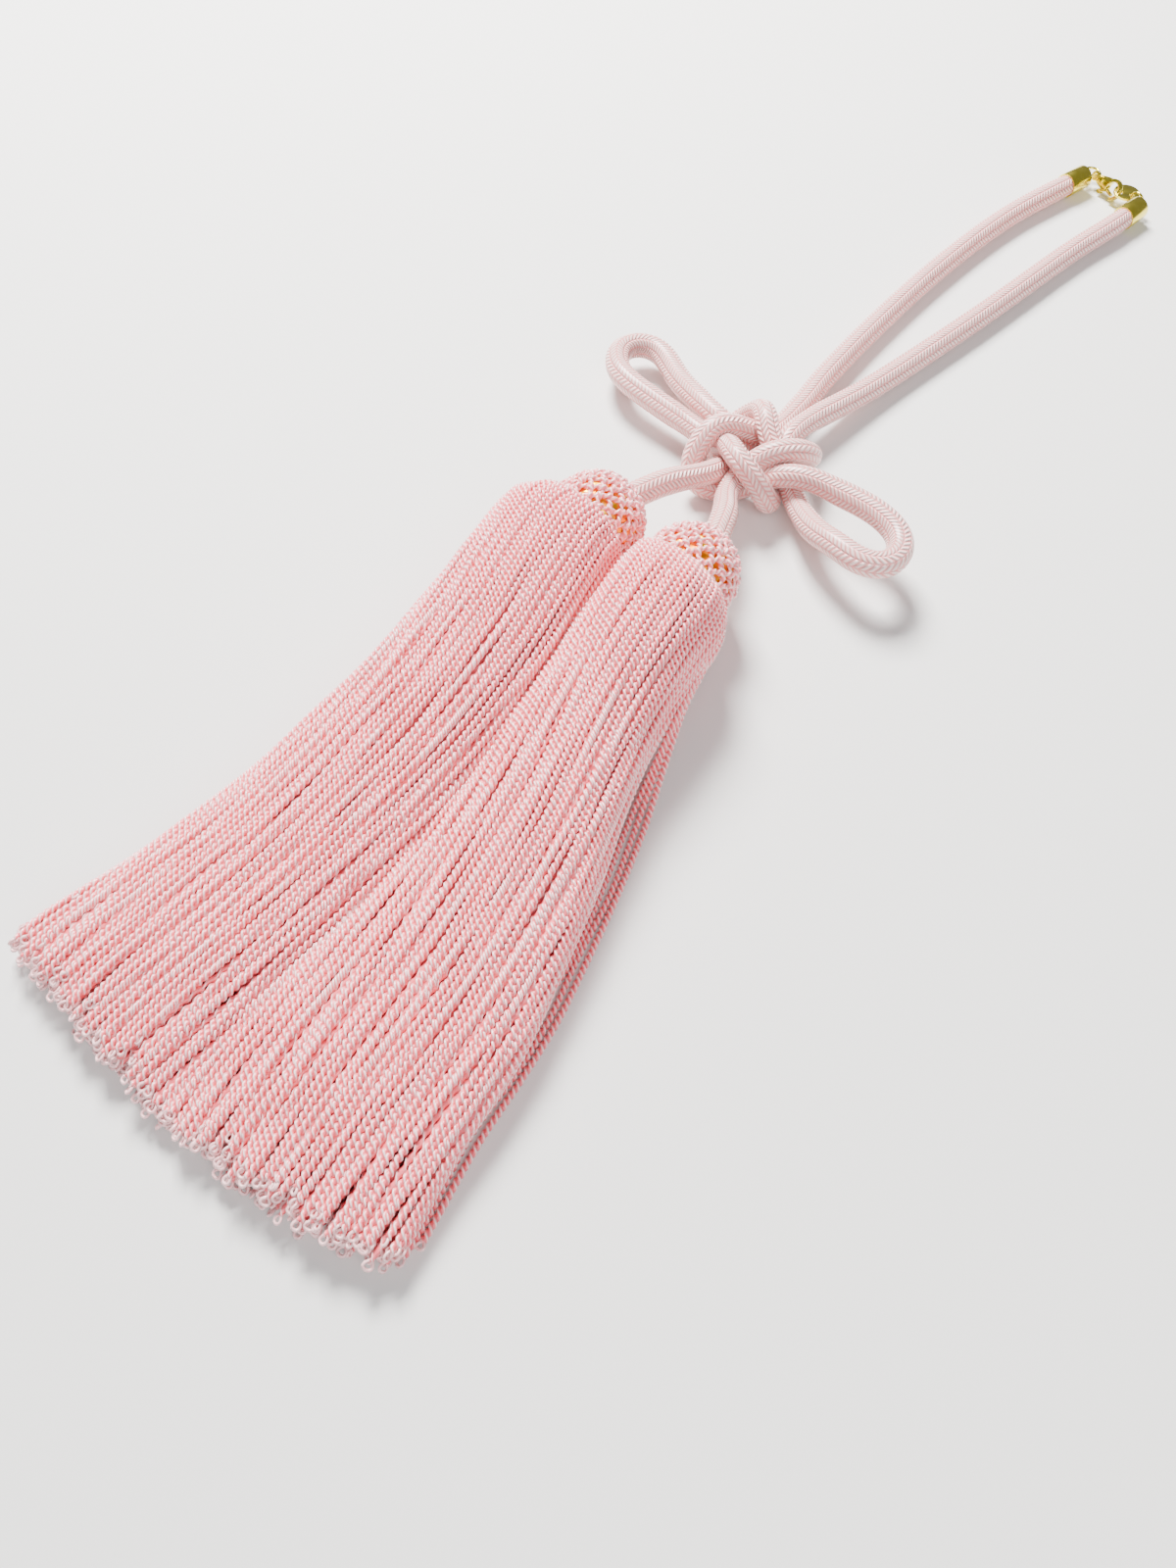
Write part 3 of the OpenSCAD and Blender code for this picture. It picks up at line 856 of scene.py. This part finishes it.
class TASSEL_OT_cores(UndoableStep, bpy.types.Operator):
    """Covers each head's dome with crinkled foil"""

    bl_idname = "tassel.cores"
    bl_label = "Foil Domes"

    def execute(self, context):
        settings = context.scene.tassel_nets
        material = foil_finish(settings)
        rng = np.random.default_rng(SEEDS["foil"])
        for side in HEADS:
            middle, way = head_axes(side)[:2]
            bm = bmesh.new()
            bmesh.ops.create_icosphere(bm, subdivisions=4, radius=settings.radius - DOME_GAP)
            bmesh.ops.bisect_plane(
                bm, geom=bm.verts[:] + bm.edges[:] + bm.faces[:], plane_co=Vector(way) * -DOME_FOOT,
                plane_no=Vector(way), clear_inner=True)
            rim = [edge for edge in bm.edges if edge.is_boundary]
            bmesh.ops.holes_fill(bm, edges=rim, sides=0)
            waves = rng.normal(size=(DENTS, 3)) * DENT_RATE
            shifts = rng.uniform(0, 2 * math.pi, DENTS)
            for vert in bm.verts:
                if vert.co.dot(Vector(way)) > DENTED_FROM:
                    swell = np.sin(waves @ np.array(vert.co) + shifts).sum() / DENTS
                    vert.co *= 1 + DENT_DEPTH * swell
            bmesh.ops.translate(bm, verts=bm.verts, vec=Vector(middle))
            soft_piece(finished("foil_" + side, bm, material), "foil", "head_core_" + side)
        return {"FINISHED"}


class TASSEL_OT_nets(UndoableStep, bpy.types.Operator):
    """Knots a net of twisted cord over each head, closer and closer towards the cord"""

    bl_idname = "tassel.nets"
    bl_label = "Head Nets"

    def execute(self, context):
        settings = context.scene.tassel_nets
        material = strand_finish("net_silk", context.scene.tassel_fringes, whiten=0.12)
        rng = np.random.default_rng(SEEDS["net"])
        thick = settings.cord_radius
        reach = settings.radius - thick - NET_WEAVE
        row = np.linspace(*NET_ROWS, NET_POINTS)
        lean = math.pi / 2 - np.maximum(row, 0) * settings.row_angle
        below = np.minimum(row, 0) * settings.row_angle * reach
        closing = np.clip((row - NET_THINS) / (NET_ROWS[1] - NET_THINS), 0, 1)
        width = thick * (1 + NET_SWELL * np.cos(2 * math.pi * row)) * (1 - NET_THINNING * closing)
        for side in HEADS:
            middle, way, across, up = head_axes(side)
            weft = Weft()
            for lay in (1, -1):
                for column in range(settings.columns):
                    sway = NET_SWAY * np.sin(row * NET_SWAY_RATE + rng.uniform(0, ANY_TURN))
                    around = (column + lay * row / 2 + sway) * 2 * math.pi / settings.columns
                    weave = lay * NET_WEAVE * np.cos(math.pi * row)
                    sphere = (reach + weave - NET_FLARE * below)[:, None]
                    outward = np.sin(lean)[:, None] * spokes_of(around, across, up)
                    outward += np.cos(lean)[:, None] * way
                    place = middle + sphere * outward + below[:, None] * way
                    line = evenly(np.column_stack([place, outward, width]), NET_STEP)
                    weft.sweep(
                        line[:, :3], line[:, 3:6], TWO_PLIES, line[:, 6], twist=NET_TWIST,
                        turn=rng.uniform(0, ANY_TURN), tone=rng.uniform(0, 1))
            for lean_at in RING_ANGLES:
                girth = 2 * math.pi * reach * math.sin(lean_at)
                around = np.linspace(0, 2 * math.pi, int(girth / NET_STEP) + 1)[:-1]
                outward = math.sin(lean_at) * spokes_of(around, across, up) + math.cos(lean_at) * way
                weft.sweep(
                    middle + (reach - NET_WEAVE) * outward, outward, TWO_PLIES_PLAIN, thick, closed=True,
                    twist=girth / round(girth / RING_TWIST), tone=0.5)
            soft_piece(weft.make("net_" + side, "ply", material), "net", "head_net_" + side)
        return {"FINISHED"}


def lift_of(turn):
    """How high a fringe's outline is: full above, flattened where it lies on the floor"""
    rise = np.sin(turn)
    return np.sign(rise) * np.abs(rise) ** np.where(rise < 0, FLOOR_POWER, TOP_POWER)


def spread_of(side, turn):
    """How far across a fringe's outline is: full on the side where the two fringes meet"""
    aside = np.cos(turn)
    inner = aside > 0 if side == "left" else aside < 0
    return np.sign(aside) * np.abs(aside) ** np.where(inner, MEETING_POWER, 1)


def stations_of(side):
    """Even stations along a fringe: where it is, its middle, half its width and its height"""
    return smooth_line(FRINGES[side], STATION_STEP)


def outline_at(side, station, turn, inset):
    """Points of a station's outline at these turns, this far inside"""
    y, middle, half, height = station
    x = middle + (half - inset) * spread_of(side, turn)
    z = height / 2 + (height / 2 - inset) * lift_of(turn)
    return np.stack([x, np.full_like(x, y), z], axis=-1)


def sideways(side, shares, y, phases):
    """How far each strand strays along the outline at this place: bunches, wander and partings"""
    fade = min(1.0, max(0.0, STEADY_ABOVE - y) / STEADY_FADE)
    shift = WANDER * np.sin(2 * math.pi * y / WANDER_LENGTH + phases[:, 0])
    for reach, count, length, phase in BUNCHES:
        shift += reach * np.sin(2 * math.pi * (count * shares + y / length) + phase)
    for place, start, end, width in PARTINGS[side]:
        opening = np.clip((start - y) / PARTING_EASE, 0, 1) * np.clip((y - end) / PARTING_EASE, 0, 1)
        from_place = shares - place
        push = np.sign(from_place) * np.exp(-np.abs(from_place) / PARTING_REACH)
        shift += 0.5 * width * opening * push
    return fade * shift


def hang(side, count, inset, arc, rng, ring):
    """Lines of one layer of a fringe, from under its net to past its ends, evenly round its outline"""
    middle, way, across, up = head_axes(side)
    shares = (np.arange(count) + 0.5) / count
    phases = rng.uniform(0, 2 * math.pi, (count, 2))
    turns = np.radians(arc[0] + (arc[1] - arc[0]) * shares)
    spokes = spokes_of(turns, across, up)
    rim = RIM_RADIUS - inset
    rows = [middle - below * way + (rim - inside) * spokes for below, inside in HANG_STARTS]
    fine = np.radians(np.linspace(*arc, OUTLINE_POINTS))
    for station in stations_of(side):
        around = lengths_along(outline_at(side, station, fine, inset))
        strayed = shares + sideways(side, shares, station[0], phases) / around[-1]
        turn = np.interp(strayed * around[-1], around, fine)
        deeper = inset + DIP * np.sin(2 * math.pi * station[0] / DIP_LENGTH + phases[:, 1])
        rows.append(outline_at(side, station, turn, deeper))
    rows = np.array(rows)
    return [smooth_line(rows[:, i], ring) for i in range(count)]


def outward_of(side, path):
    """The way out of the fringe at each point of a line"""
    middle = head_axes(side)[0]
    stations = stations_of(side)[::-1]
    y = np.append(stations[:, 0], middle[1] + 0.002)
    x = np.interp(path[:, 1], y, np.append(stations[:, 1], middle[0]))
    z = np.interp(path[:, 1], y, np.append(stations[:, 3] / 2, middle[2]))
    return unit(np.column_stack([path[:, 0] - x, 0 * x, 1.4 * (path[:, 2] - z)]))


def trimmed(path, rng, start=None):
    """The line cut where the fringe ends, rounded at its corners, with a few strands much shorter"""
    x = path[:, 0] - END_MIDDLE
    bow = np.where(x < 0, *END_BOWS) * x * x
    bow += END_ROUNDING * np.maximum(np.abs(x) - END_CORNER, 0) ** 2
    short = rng.uniform(*SHORT_BY) if rng.random() < SHORT_SHARE else 0
    end = END_PLACE + bow + END_LEAN * path[:, 2] + short + rng.normal(0, END_SPREAD)
    past = np.nonzero(path[:, 1] < end)[0]
    path = path[:past[0]] if len(past) else path
    return path if start is None else path[path[:, 1] < start]


def end_loop(weft, path, rng, tone):
    """The small open loop in which a strand ends"""
    way = unit(path[-1] - path[-4])
    side = unit(np.cross(way, (0.0, 0.0, 1.0)))
    lean = rng.normal(0, LOOP_LEAN)
    across = math.cos(lean) * side + math.sin(lean) * np.cross(side, way)
    turn = np.linspace(0, 2 * math.pi, LOOP_CORNERS + 1)[:-1, None]
    long = rng.uniform(*LOOP_LENGTHS)
    wide = rng.uniform(*LOOP_WIDTHS)
    reach = (1 - np.cos(turn)) / 2
    line = path[-1] - LOOP_TUCK * way + long * reach * way
    line += wide * np.sin(turn) * np.sqrt(reach) * across
    line[:, 2] = np.maximum(line[:, 2], LOOP_RADIUS)
    normal = np.cross(across, way)
    weft.sweep(line, normal + 0 * line, ONE_PLY, LOOP_RADIUS, closed=True, tone=tone)


def stray_lines(side, ring):
    """Strands that leave the fringe's flank together and lie on the floor beside it"""
    stations = stations_of(side)[::-1]
    edge = 1 if side == "right" else -1
    count, route = STRAYS[side]
    lines = []
    for place in range(count):
        rows = []
        for y, out, height in route:
            flank = np.interp(y, stations[:, 0], stations[:, 1] + edge * stations[:, 2])
            beside = float(eased((FAN_START - y) / FAN_LENGTH))
            gap = STRAY_GAP + STRAY_SWAY * math.sin(STRAY_SWAY_RATE * y + 2.1 * place)
            rise = place * (1 - beside) * STRAY_RISE
            rows.append((flank + edge * (out - place * beside * gap), y, height + rise))
        lines.append(smooth_line(rows, ring))
    return lines


class TASSEL_OT_fringe(UndoableStep, bpy.types.Operator):
    """Hangs one fringe: top strands, the layer under them, its under side with strays, ends and backing"""

    bl_idname = "tassel.fringe"
    bl_label = "Fringe"

    side: EnumProperty(
        name="Side", description="Which head the fringe hangs from",
        items=(("left", "Left", "The left head"), ("right", "Right", "The right head")), default="left")

    def strand(self, weft, path, profile, turn_length, depth, rng):
        """Adds one strand and its end's loop, unless it is too short for them"""
        if len(path) < 8:
            return
        tone = rng.uniform(0, 1)
        width = self.radius * rng.uniform(*WIDTH_SHARES)
        path[:, 2] = np.maximum(path[:, 2], width)
        shade = depth * np.clip((path[:, 1] - PALE_PLACE) / PALE_LENGTH, 0, 1)
        weft.sweep(
            path, outward_of(self.side, path), profile, width, twist=turn_length * rng.uniform(*TWIST_SHARES),
            turn=rng.uniform(0, ANY_TURN), depth=shade, tone=tone)
        end_loop(weft, path, rng, tone)

    def backing(self, settings):
        """A closed body under the strands, so that no light shows through the fringe"""
        turns = np.linspace(0, 2 * math.pi, BACKING_CORNERS + 1)[:-1]
        middle, way, across, up = head_axes(self.side)
        rings = [middle - 0.002 * way + BACKING_TOP * spokes_of(turns, across, up)]
        for station in stations_of(self.side):
            if BACKING_SPAN[0] < station[0] < BACKING_SPAN[1]:
                rings.append(outline_at(self.side, station, turns, BACKING_INSET))
        bm = bmesh.new()
        rings = [[bm.verts.new(point) for point in ring] for ring in rings]
        # The corner from which each face is split in two triangles
        first = 1 if self.side == "right" else 0
        for ring, after in zip(rings, rings[1:]):
            for i in range(BACKING_CORNERS):
                quad = (ring[i - 1], ring[i], after[i], after[i - 1])
                bm.faces.new(quad[first:] + quad[:first])
        bm.faces.new(rings[0])
        bm.faces.new(rings[-1])
        bmesh.ops.recalc_face_normals(bm, faces=bm.faces)
        return finished("backing_" + self.side, bm, backing_finish(settings))

    def execute(self, context):
        settings = context.scene.tassel_fringes
        self.radius = settings.strand_radius
        turn = settings.turn_length
        material = bpy.data.materials.get("strand_silk") or strand_finish("strand_silk", settings)
        rng = np.random.default_rng(SEEDS[self.side])
        node = "fringe_" + self.side
        half = settings.strands // 2
        # Each layer: strands, how far inside, arc, ring spacing, profile, length of a turn, and how much
        # painted shade it gets for lying under the top
        pieces = (
            ("top_right", ((half, TOP_INSET, (-25, 90), 0.0005, TWO_PLIES, turn, 0),)),
            ("top_left", ((half, TOP_INSET, (90, 205), 0.0005, TWO_PLIES, turn, 0),)),
            ("second", (
                (settings.strands - 2, SECOND_INSET, (-25, 205), 0.00075, TWO_PLIES_FLAT, 2 * turn, 0.4),
            )),
            ("under", (
                (5, TOP_INSET, (206, 240), 0.0006, TWO_PLIES_PLAIN, turn, 0),
                (11, TOP_INSET, (242, 298), 0.0015, TWO_PLIES_FLAT, 4 * turn, 0),
                (5, TOP_INSET, (300, 334), 0.0006, TWO_PLIES_PLAIN, turn, 0),
            )),
        )
        for name, layers in pieces:
            weft = Weft()
            for count, inset, arc, ring, profile, turn_length, depth in layers:
                for path in hang(self.side, count, inset, arc, rng, ring):
                    self.strand(weft, trimmed(path, rng), profile, turn_length, depth, rng)
            if name == "under":
                for path in stray_lines(self.side, 0.00055):
                    self.strand(weft, trimmed(path, rng), TWO_PLIES, turn, 0, rng)
            soft_piece(weft.make(node + "_" + name, "ply", material), "strands", node)
        weft = Weft()
        for count, inset, arc, depth in END_LAYERS:
            for path in hang(self.side, count, inset, arc, rng, 0.0006):
                self.strand(
                    weft, trimmed(path, rng, END_START), TWO_PLIES_FLAT, 1.5 * turn, depth, rng)
        soft_piece(weft.make(node + "_ends", "ply", material), "strands", node)
        soft_piece(self.backing(settings), "strands", node)
        return {"FINISHED"}


class TASSEL_OT_stage(UndoableStep, bpy.types.Operator):
    """Adds the plain pale floor, the soft lights and the pale surroundings"""

    bl_idname = "tassel.stage"
    bl_label = "Floor and Light"

    def execute(self, context):
        settings = context.scene.tassel_stage
        bm = bmesh.new()
        bmesh.ops.create_grid(bm, x_segments=8, y_segments=8, size=1.5)
        finished("floor", bm, floor_finish(settings))
        for name, place, size, power, color in LAMPS:
            data = bpy.data.lights.new(name, "AREA")
            data.shape = "SQUARE"
            data.size = size
            data.energy = getattr(settings, power)
            data.color = color
            aimed(name, data, place, LAMP_AIM - Vector(place))
        world = bpy.data.worlds.new("surroundings")
        world.use_nodes = True
        background = world.node_tree.nodes["Background"]
        background.inputs["Color"].default_value = (0.93, 0.95, 1.0, 1.0)
        background.inputs["Strength"].default_value = 0.26
        context.scene.world = world
        return {"FINISHED"}


class TASSEL_PT_panel(bpy.types.Panel):
    """Lists the tassel's pieces and their sizes and colours"""

    bl_label = "Agemaki Tassel"
    bl_idname = "TASSEL_PT_panel"
    bl_space_type = "VIEW_3D"
    bl_region_type = "UI"
    bl_category = "Tassel"

    def draw(self, context):
        rows = (
            ("camera", None), ("cords", "cords"), ("findings", "gold"), ("cores", None), ("nets", "nets"),
            ("fringe", "fringes"), ("stage", "stage"),
        )
        for operator, group in rows:
            box = self.layout.box()
            box.operator("tassel." + operator)
            if group:
                settings = getattr(context.scene, "tassel_" + group)
                for name in settings.bl_rna.properties.keys():
                    if name not in ("rna_type", "name"):
                        box.prop(settings, name)


SETTINGS = (
    ("tassel_cords", CordSettings), ("tassel_gold", GoldSettings), ("tassel_nets", NetSettings),
    ("tassel_fringes", FringeSettings), ("tassel_stage", StageSettings),
)
CLASSES = [kind for name, kind in SETTINGS] + [
    TASSEL_OT_camera, TASSEL_OT_cords, TASSEL_OT_findings, TASSEL_OT_cores, TASSEL_OT_nets, TASSEL_OT_fringe,
    TASSEL_OT_stage, TASSEL_PT_panel,
]


def register():
    for kind in CLASSES:
        bpy.utils.register_class(kind)
    for name, kind in SETTINGS:
        setattr(bpy.types.Scene, name, PointerProperty(type=kind))


def unregister():
    for name, kind in SETTINGS:
        delattr(bpy.types.Scene, name)
    for kind in reversed(CLASSES):
        bpy.utils.unregister_class(kind)


def corners(box):
    return [[float(value) for value in corner] for corner in box]


def main():
    register()
    bpy.ops.tassel.camera()
    bpy.ops.tassel.cords()
    bpy.ops.tassel.findings()
    bpy.ops.tassel.cores()
    bpy.ops.tassel.nets()
    bpy.ops.tassel.fringe(side="left")
    bpy.ops.tassel.fringe(side="right")
    bpy.ops.tassel.stage()


if __name__ == "__main__":
    main()
